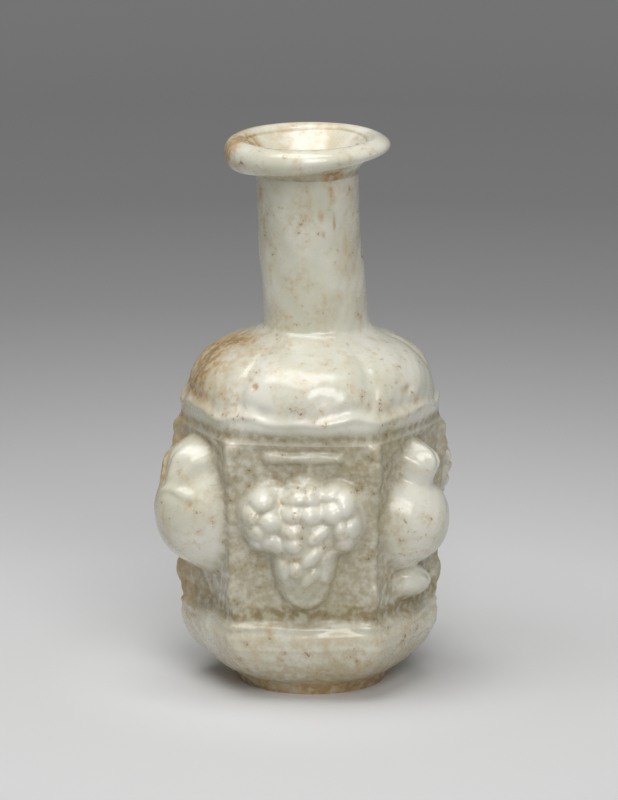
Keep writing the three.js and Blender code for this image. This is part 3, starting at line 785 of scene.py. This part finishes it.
# Spots of noise to a metre
CLOUD_SCALE, WIDE_PATCH_SCALE, PATCH_SCALE = 90.0, 190.0, 260.0
STREAK_SCALE, GRAIN_SCALE, FINE_SCALE = 420.0, 900.0, 2600.0
STREAK_STRETCH = (1.0, 1.0, 0.16)
BUMP_STRENGTH, BUMP_DEPTH = 0.35, 0.12 * MM
white_glass = bpy.data.materials.new("white_glass")
white_glass.use_nodes = True
glass_nodes = white_glass.node_tree.nodes
glass_links = white_glass.node_tree.links
shader = glass_nodes["Principled BSDF"]
shader.inputs["IOR"].default_value = 1.5
shader.inputs["Coat Weight"].default_value = 0.35
shader.inputs["Coat Roughness"].default_value = 0.12
coordinates = glass_nodes.new("ShaderNodeTexCoord")


def noise(scale, detail, stretch=(1.0, 1.0, 1.0), roughness=0.55):
    """Cloudy noise on the piece's own coordinates, stretched along one way."""
    mapping = glass_nodes.new("ShaderNodeMapping")
    mapping.inputs["Scale"].default_value = stretch
    texture = glass_nodes.new("ShaderNodeTexNoise")
    texture.inputs["Scale"].default_value = scale
    texture.inputs["Detail"].default_value = detail
    texture.inputs["Roughness"].default_value = roughness
    glass_links.new(coordinates.outputs["Object"], mapping.inputs["Vector"])
    glass_links.new(mapping.outputs["Vector"], texture.inputs["Vector"])
    return texture.outputs["Fac"]


def ramp(value, start, end, low=0.0, high=1.0):
    """A value taken from one range to another and held at its ends."""
    node = glass_nodes.new("ShaderNodeMapRange")
    node.interpolation_type = "SMOOTHSTEP"
    node.inputs["From Min"].default_value = start
    node.inputs["From Max"].default_value = end
    node.inputs["To Min"].default_value = low
    node.inputs["To Max"].default_value = high
    glass_links.new(value, node.inputs["Value"])
    return node.outputs["Result"]


def combine(operation, first, second):
    """Two values joined by one sum, held between 0 and 1: a number or a socket each."""
    node = glass_nodes.new("ShaderNodeMath")
    node.operation = operation
    node.use_clamp = True
    for place_in, value in ((0, first), (1, second)):
        if isinstance(value, float):
            node.inputs[place_in].default_value = value
        else:
            glass_links.new(value, node.inputs[place_in])
    return node.outputs["Value"]


def blend_colour(amount, first, second):
    """One colour laid over another by an amount; each is a colour or a socket."""
    node = glass_nodes.new("ShaderNodeMix")
    node.data_type = "RGBA"
    glass_links.new(amount, node.inputs["Factor"])
    for label, value in (("A", first), ("B", second)):
        place_in = [entry for entry in node.inputs if entry.name == label and entry.type == "RGBA"][0]
        if isinstance(value, tuple):
            place_in.default_value = (*value, 1.0)
        else:
            glass_links.new(value, place_in)
    return [entry for entry in node.outputs if entry.type == "RGBA"][0]


def attribute(label):
    """A value that the mesh carries at its points."""
    node = glass_nodes.new("ShaderNodeAttribute")
    node.attribute_name = label
    return node.outputs["Fac"]


cloud = noise(CLOUD_SCALE, 4.0)
wide_patch = noise(WIDE_PATCH_SCALE, 6.0, roughness=0.7)
patch = noise(PATCH_SCALE, 5.0, roughness=0.65)
streak = noise(STREAK_SCALE, 3.0, stretch=STREAK_STRETCH)
grain = noise(GRAIN_SCALE, 5.0)
fine = noise(FINE_SCALE, 3.0)
# Soil and painted shade: the mesh's attribute, broken up by grain
soil_and_shade_there = combine("MULTIPLY", attribute("soil_and_shade"), ramp(grain, 0.3, 0.62, 0.55, 1.1))
patchy = combine("MULTIPLY", ramp(grain, 0.36, 0.62, 0.55, 1.1), ramp(wide_patch, 0.3, 0.66, 0.45, 1.3))
brown_there = combine("MULTIPLY", attribute("brown"), patchy)
faint_tan = combine("MULTIPLY", ramp(patch, 0.42, 0.7), ramp(grain, 0.36, 0.64))
streaks = combine("MULTIPLY", ramp(streak, 0.56, 0.74), ramp(cloud, 0.45, 0.62))
grain_peaks = combine("MULTIPLY", ramp(grain, 0.6, 0.66), ramp(fine, 0.46, 0.6))
specks = combine("MULTIPLY", grain_peaks, ramp(patch, 0.42, 0.58))
colour = blend_colour(ramp(cloud, 0.35, 0.68), CLEAN_GLASS, GREY_GLASS)
colour = blend_colour(combine("MULTIPLY", faint_tan, FAINT_TAN_AMOUNT), colour, TAN_WEATHERING)
colour = blend_colour(combine("MULTIPLY", streaks, STREAK_AMOUNT), colour, TAN_WEATHERING)
# Painted shade, with soil, laid over the colour where the attribute is high
colour = blend_colour(soil_and_shade_there, colour, SOIL_AND_SHADE_COLOUR)
colour = blend_colour(ramp(brown_there, 0.04, 0.72, 0.0, 0.85), colour, TAN_WEATHERING)
colour = blend_colour(ramp(brown_there, 0.5, 1.0, 0.0, 0.8), colour, BROWN_WEATHERING)
colour = blend_colour(combine("MULTIPLY", specks, SPECK_AMOUNT), colour, SPECK_COLOUR)
glass_links.new(colour, shader.inputs["Base Color"])
# Rougher where the brown and the soil with painted shade lie
marks_mask = combine("MAXIMUM", soil_and_shade_there, brown_there)
marks_roughness = combine("ADD", ramp(marks_mask, 0.1, 0.9, 0.2, 0.55), ramp(fine, 0.3, 0.7, 0.0, 0.08))
glass_links.new(marks_roughness, shader.inputs["Roughness"])
pitting = combine("ADD", combine("MULTIPLY", grain, 0.6), combine("MULTIPLY", fine, 0.25))
bump = glass_nodes.new("ShaderNodeBump")
bump.inputs["Strength"].default_value = BUMP_STRENGTH
bump.inputs["Distance"].default_value = BUMP_DEPTH
glass_links.new(pitting, bump.inputs["Height"])
glass_links.new(bump.outputs["Normal"], shader.inputs["Normal"])

# The base: a solid round disc of glass that the bottle stands on, where the bubble met the floor
# of the mould, flat below and worn brown round its edge.
BASE_TOP_RINGS = (0.75, 0.5, 0.25, 0.0)
BASE_FLOOR_RINGS = (0.0, 0.5, 0.9)
INSIDE_MARKS = 0.35


def add_section(name, outside, inside, normals, soil_and_shade, brown, closed):
    """One section of the wall as a closed mesh. Its grids hold columns of points, and each column
    goes up the outside and down the inside. A section that stops at two corners gets an end face
    at each. The outside keeps the normals of the whole wall, so that no seam shows."""
    loop = np.concatenate([outside, inside[:, ::-1]], axis=1)
    columns, rows = loop.shape[:2]
    number = np.arange(columns * rows).reshape(columns, rows)
    on_axis = np.ptp(loop, axis=0).max(axis=-1) == 0
    number[:, on_axis] = number[0, on_axis]
    right = np.roll(number, -1, axis=0) if closed else number[1:]
    left = number if closed else number[:-1]
    quads = np.stack([left, right, np.roll(right, -1, axis=1), np.roll(left, -1, axis=1)], axis=-1)
    quads = quads.reshape(-1, 4)
    keep = quads != np.roll(quads, -1, axis=1)
    sizes = keep.sum(axis=1)
    corners = quads[sizes > 2][keep[sizes > 2]]
    sizes = sizes[sizes > 2]
    if not closed:
        corners = np.concatenate([corners, number[0], number[-1][::-1]])
        sizes = np.concatenate([sizes, [rows, rows]])
    used, corners = np.unique(corners, return_inverse=True)
    starts = np.concatenate([[0], np.cumsum(sizes)[:-1]])
    mesh = bpy.data.meshes.new(name)
    mesh.vertices.add(len(used))
    mesh.vertices.foreach_set("co", loop.reshape(-1, 3)[used].astype(np.float32).ravel())
    mesh.loops.add(len(corners))
    mesh.loops.foreach_set("vertex_index", corners.astype(np.int32).ravel())
    mesh.polygons.add(len(sizes))
    mesh.polygons.foreach_set("loop_start", starts.astype(np.int32))
    mesh.update(calc_edges=True)
    outside_rows = outside.shape[1]
    for label, values in (("soil_and_shade", soil_and_shade), ("brown", brown)):
        full = np.full((columns, rows), INSIDE_MARKS, dtype=np.float32)
        full[:, :outside_rows] = values
        mesh.attributes.new(label, "FLOAT", "POINT").data.foreach_set("value", full.ravel()[used])
    mesh.shade_smooth()
    wanted = np.zeros((columns, rows, 3))
    wanted[:, :outside_rows] = normals
    mesh.normals_split_custom_set_from_vertices(wanted.reshape(-1, 3)[used].tolist())
    mesh.materials.append(white_glass)
    piece = bpy.data.objects.new(name, mesh)
    bpy.context.collection.objects.link(piece)
    return piece


base_rows = ROWS["base_disc"][2] + 1
base_outside = outer_points[:, :base_rows]
top_middle = np.broadcast_to([0.0, 0.0, BASE_THICKNESS * MM], (len(turns), 1, 3))
top_rings = [top_middle + (base_outside[:, -1:] - top_middle) * share for share in BASE_TOP_RINGS]
floor_rings = [base_outside[:, :1] * np.array([share, share, 1.0]) for share in BASE_FLOOR_RINGS]
base_inside = np.concatenate(top_rings + floor_rings, axis=1)[:, ::-1]
base_disc = add_section(
    "base",
    base_outside,
    base_inside,
    outer_normals[:, :base_rows],
    outer_soil_and_shade[:, :base_rows],
    outer_brown[:, :base_rows],
    closed=True,
)
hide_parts("base_disc")
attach(base_disc, "root")

# The plain sections of the glass round the bottle, each cut from the wall: the sloping underside,
# the moulding under the panels, the recessed band over them, the lobed shoulder and the neck.
RING_INNER_ROWS = {"underside": 7, "lower_moulding": 7, "cornice": 7, "shoulder": 13, "neck": 7}


def cut_section(name, section, inner_rows, side=None):
    """A section of the wall, all round the bottle or on one side: its rows of the outside, and an
    inside of its own on fewer rows."""
    start, end, count = ROWS[section]
    rows = slice(first_row[section], first_row[section] + count + 1)
    columns = np.arange(len(turns))
    inner_turns = turns
    if side is not None:
        columns = np.arange(side * COLUMNS_PER_SIDE, (side + 1) * COLUMNS_PER_SIDE + 1) % len(turns)
        inner_turns = np.linspace(side, side + 1, COLUMNS_PER_SIDE + 1)
    inner_grid = np.meshgrid(inner_turns, np.linspace(start, end, inner_rows), indexing="ij")
    return add_section(
        name,
        outer_points[columns, rows],
        inner_wall(*inner_grid),
        outer_normals[columns, rows],
        outer_soil_and_shade[columns, rows],
        outer_brown[columns, rows],
        closed=side is None,
    )


for node, inner_rows in RING_INNER_ROWS.items():
    ring = cut_section(node + "_glass", node, inner_rows)
    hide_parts(node)
    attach(ring, "root")

# The six panels of glass between the corner ribs, each cut from the wall at its two corners, with
# the fruit that its own section above gives it.
PANEL_INNER_ROWS = 14
PANEL_NODES = (
    "panel_grapes", "panel_pomegranate", "panel_pine_cone",
    "panel_grapes_rear", "panel_quince", "panel_citron",
)
for side, node in enumerate(PANEL_NODES):
    panel = cut_section(node + "_glass", "panel", PANEL_INNER_ROWS, side)
    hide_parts(node)
    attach(panel, "root")

# The lip: the hot rim of the glass was folded outwards and in again, so it is thick, rounder on
# the left than on the right, and a fine line on top shows where the fold ends.
LIP_HEIGHT = 5.1
LIP_RADIUS = 11.8
LIP_CREST_RADIUS = 10.0
LIP_UNDERSIDE_SLOPE, LIP_CREST_SLOPE = 0.1, 0.012
LIP_REACH = LIP_RADIUS - NECK_HEAD_RADIUS
DISH_REACH = LIP_CREST_RADIUS - BORE_RADIUS
LIP_ROWS = 150
LIP_INSET = 0.12
FOLD_LINE_RADIUS, FOLD_LINE_WAVE, FOLD_LINE_HALF_WIDTH, FOLD_LINE_DEPTH = 8.6, 0.15, 0.16, 0.13
# Radius, share of the lip's height, and how far it rises for each step along X
LIP_FOLD = np.array([
    (NECK_HEAD_RADIUS + 0.1, 0.0, 0.0),
    (NECK_HEAD_RADIUS + LIP_REACH * 0.14, 0.16, LIP_UNDERSIDE_SLOPE * 0.6),
    (NECK_HEAD_RADIUS + LIP_REACH * 0.46, 0.29, LIP_UNDERSIDE_SLOPE),
    (NECK_HEAD_RADIUS + LIP_REACH * 0.82, 0.4, LIP_UNDERSIDE_SLOPE),
    (LIP_RADIUS, 0.62, LIP_UNDERSIDE_SLOPE * 0.5),
    (between(LIP_CREST_RADIUS, LIP_RADIUS, 0.75), 0.87, LIP_CREST_SLOPE),
    (LIP_CREST_RADIUS, 1.0, LIP_CREST_SLOPE),
    (BORE_RADIUS + DISH_REACH * 0.78, 0.92, LIP_CREST_SLOPE),
    (BORE_RADIUS + DISH_REACH * 0.5, 0.66, LIP_CREST_SLOPE),
    (BORE_RADIUS + DISH_REACH * 0.16, 0.3, LIP_CREST_SLOPE),
    (BORE_RADIUS, 0.0, 0.0),
])


def along_fold(count):
    """The fold's stops joined by a smooth curve, as a cubic through each four neighbours."""
    last = len(LIP_FOLD) - 1
    reached = np.linspace(0.0, last, count)
    i = np.minimum(reached.astype(int), last - 1)
    t = (reached - i)[:, None]
    a, b = LIP_FOLD[np.maximum(i - 1, 0)], LIP_FOLD[i]
    c, d = LIP_FOLD[i + 1], LIP_FOLD[np.minimum(i + 2, last)]
    return 0.5 * (2 * b + (c - a) * t + (2 * a - 5 * b + 4 * c - d) * t**2 + (3 * b - a - 3 * c + d) * t**3)


# The form: the fold carried round the mouth, with low lumps under it and the line on top of it
lip_turns, lip_rows = np.meshgrid(turns, np.arange(LIP_ROWS), indexing="ij")
fold_radius, fold_rise, fold_slope = along_fold(LIP_ROWS)[lip_rows].transpose(2, 0, 1)
lip_plan = plan(lip_turns, fold_radius, np.ones_like(fold_radius))
lip_angle = np.arctan2(lip_plan[..., 0], -lip_plan[..., 1])
lip_share = lip_rows / (LIP_ROWS - 1)
lip_free = smooth_step(lip_share, 0.02, 0.12) * (1 - smooth_step(lip_share, 0.93, 1.0))
lip_lumps = 0.048 * np.sin(2 * lip_angle + 0.7) + 0.03 * np.sin(5 * lip_angle + 14 * lip_share)
line_radius = FOLD_LINE_RADIUS + FOLD_LINE_WAVE * np.sin(3 * lip_angle)
fold_line = bell(fold_radius, line_radius, FOLD_LINE_HALF_WIDTH) * (lip_share > 0.6)
lip_level = LIP_LEVEL + LIP_HEIGHT * fold_rise + lip_plan[..., 0] * fold_slope
lip_level = lip_level + lip_lumps * lip_free * (1 - smooth_step(lip_share, 0.45, 0.62))
lip_level = lip_level - FOLD_LINE_DEPTH * fold_line
inset = LIP_INSET * lip_free * np.abs(np.sin(1.5 * lip_angle + 0.4))
lip_plan = lip_plan * (1 - inset / np.linalg.norm(lip_plan, axis=-1))[..., None]
lip_points = np.stack([lip_plan[..., 0] + LIP_DRIFT, lip_plan[..., 1], lip_level], axis=-1) * MM
lip_points[:, 0] = outer_points[:, -1]
lip_normals = grid_normals(lip_points)
lip_normals[:, 0] = outer_normals[:, -1]
lip_inside = (lip_points[:, :1] + lip_points[:, -1:]) / 2

# The wear and painted shade: soil with painted shade in the line and under the lip, tan on the
# left end, brown at the right and behind
lip_left = smooth_step(-np.sin(lip_angle), 0.75, 0.98) * smooth_step(lip_share, 0.2, 0.4)
lip_behind = smooth_step(-np.cos(lip_angle), 0.5, 0.9) * smooth_step(lip_share, 0.55, 0.65)
lip_under_right = bell(lip_angle, 0.5, 0.28) * (1 - smooth_step(lip_share, 0.12, 0.36))
# Painted shade, with soil, in the fine line and on the underside of the lip
lip_soil_and_shade = 0.55 * fold_line + fading(lip_share, 0.65, 0.03, 0.22)
lip_brown = np.maximum.reduce([
    0.75 * lip_left + 0.4 * fold_line,
    fading(lip_share, 0.26, 0.05, 0.3),
    0.85 * lip_under_right,
    0.4 * lip_behind,
])
lip = add_section(
    "lip_glass",
    lip_points,
    lip_inside,
    lip_normals,
    np.clip(lip_soil_and_shade, 0, 1),
    np.clip(lip_brown, 0, 1),
    closed=True,
)
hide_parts("lip")
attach(lip, "root")

# The floor: a wide matt sheet with a painted falloff of light in its colour, pale round the bottle
# and darker far behind it, so that the view over it runs from pale to grey. It takes the bottle's
# soft shadow.
FLOOR_RADIUS = 0.9
FLOOR_CORNERS = 128
# Distance from the bottle in metres, and how pale the sheet is painted there, as falloff of light
FLOOR_PAINTED_FALLOFF = (
    (0.000, 0.73), (0.040, 0.62), (0.068, 0.62), (0.098, 0.575), (0.130, 0.520), (0.164, 0.455),
    (0.200, 0.395), (0.238, 0.340), (0.323, 0.295), (0.420, 0.325), (0.530, 0.425), (0.900, 0.425),
)
floor_turn = np.linspace(0.0, 2 * math.pi, FLOOR_CORNERS + 1)[:-1]
floor_corners = np.stack([np.cos(floor_turn), np.sin(floor_turn), 0 * floor_turn], axis=-1) * FLOOR_RADIUS
floor_mesh = bpy.data.meshes.new("floor")
floor_mesh.from_pydata(floor_corners.tolist(), [], [list(range(FLOOR_CORNERS))])
floor = bpy.data.objects.new("floor", floor_mesh)
bpy.context.collection.objects.link(floor)
floor_painted_falloff = bpy.data.materials.new("floor_painted_falloff")
floor_painted_falloff.use_nodes = True
floor_nodes, floor_links = floor_painted_falloff.node_tree.nodes, floor_painted_falloff.node_tree.links
floor_shader = floor_nodes["Principled BSDF"]
floor_shader.inputs["Roughness"].default_value = 0.9
floor_shader.inputs["Specular IOR Level"].default_value = 0.1
floor_place = floor_nodes.new("ShaderNodeTexCoord")
floor_distance = floor_nodes.new("ShaderNodeVectorMath")
floor_distance.operation = "LENGTH"
floor_share = floor_nodes.new("ShaderNodeMath")
floor_share.operation = "DIVIDE"
floor_share.inputs[1].default_value = FLOOR_RADIUS
floor_falloff_ramp = floor_nodes.new("ShaderNodeValToRGB")
floor_falloff_ramp.color_ramp.interpolation = "LINEAR"
while len(floor_falloff_ramp.color_ramp.elements) < len(FLOOR_PAINTED_FALLOFF):
    floor_falloff_ramp.color_ramp.elements.new(0.5)
for element, (distance, tone) in zip(floor_falloff_ramp.color_ramp.elements, FLOOR_PAINTED_FALLOFF):
    element.position = distance / FLOOR_RADIUS
    element.color = (tone, tone, tone, 1.0)
floor_links.new(floor_place.outputs["Object"], floor_distance.inputs[0])
floor_links.new(floor_distance.outputs["Value"], floor_share.inputs[0])
floor_links.new(floor_share.outputs["Value"], floor_falloff_ramp.inputs["Fac"])
# The painted falloff of light goes into the floor's colour
floor_links.new(floor_falloff_ramp.outputs["Color"], floor_shader.inputs["Base Color"])
floor_mesh.materials.append(floor_painted_falloff)

# The light: a large soft lamp overhead, a little to the front left, a second one further out in
# front on the right, and an even pale room all round, which the camera sees as grey.
ROOM_LIGHT = 0.17
BACKGROUND_GREY = 0.17
# Name, place and size in metres, and power in watts
LAMPS = (
    ("overhead", (-0.07, -0.09, 0.52), 0.40, 2.15),
    ("front", (0.14, -0.70, 0.52), 0.42, 3.2),
)
room = bpy.data.worlds.new("room")
bpy.context.scene.world = room
room.use_nodes = True
room_nodes, room_links = room.node_tree.nodes, room.node_tree.links
room_light = room_nodes["Background"]
room_light.inputs["Color"].default_value = (1.0, 1.0, 1.0, 1.0)
room_light.inputs["Strength"].default_value = ROOM_LIGHT
room_behind = room_nodes.new("ShaderNodeBackground")
room_behind.inputs["Color"].default_value = (BACKGROUND_GREY, BACKGROUND_GREY, BACKGROUND_GREY, 1.0)
room_rays = room_nodes.new("ShaderNodeLightPath")
room_choice = room_nodes.new("ShaderNodeMixShader")
room_links.new(room_rays.outputs["Is Camera Ray"], room_choice.inputs["Fac"])
room_links.new(room_light.outputs["Background"], room_choice.inputs[1])
room_links.new(room_behind.outputs["Background"], room_choice.inputs[2])
room_links.new(room_choice.outputs["Shader"], room_nodes["World Output"].inputs["Surface"])
for lamp_name, lamp_place, size, power in LAMPS:
    lamp_data = bpy.data.lights.new(lamp_name, "AREA")
    lamp_data.size = size
    lamp_data.energy = power
    lamp = bpy.data.objects.new(lamp_name, lamp_data)
    lamp.location = lamp_place
    reach_x, reach_y, reach_z = -lamp_place[0], -lamp_place[1], AIM_HEIGHT - lamp_place[2]
    lamp.rotation_euler = (
        math.atan2(math.hypot(reach_x, reach_y), -reach_z),
        0.0,
        math.atan2(reach_x, -reach_y) + math.pi,
    )
    bpy.context.collection.objects.link(lamp)

bpy.context.view_layer.update()
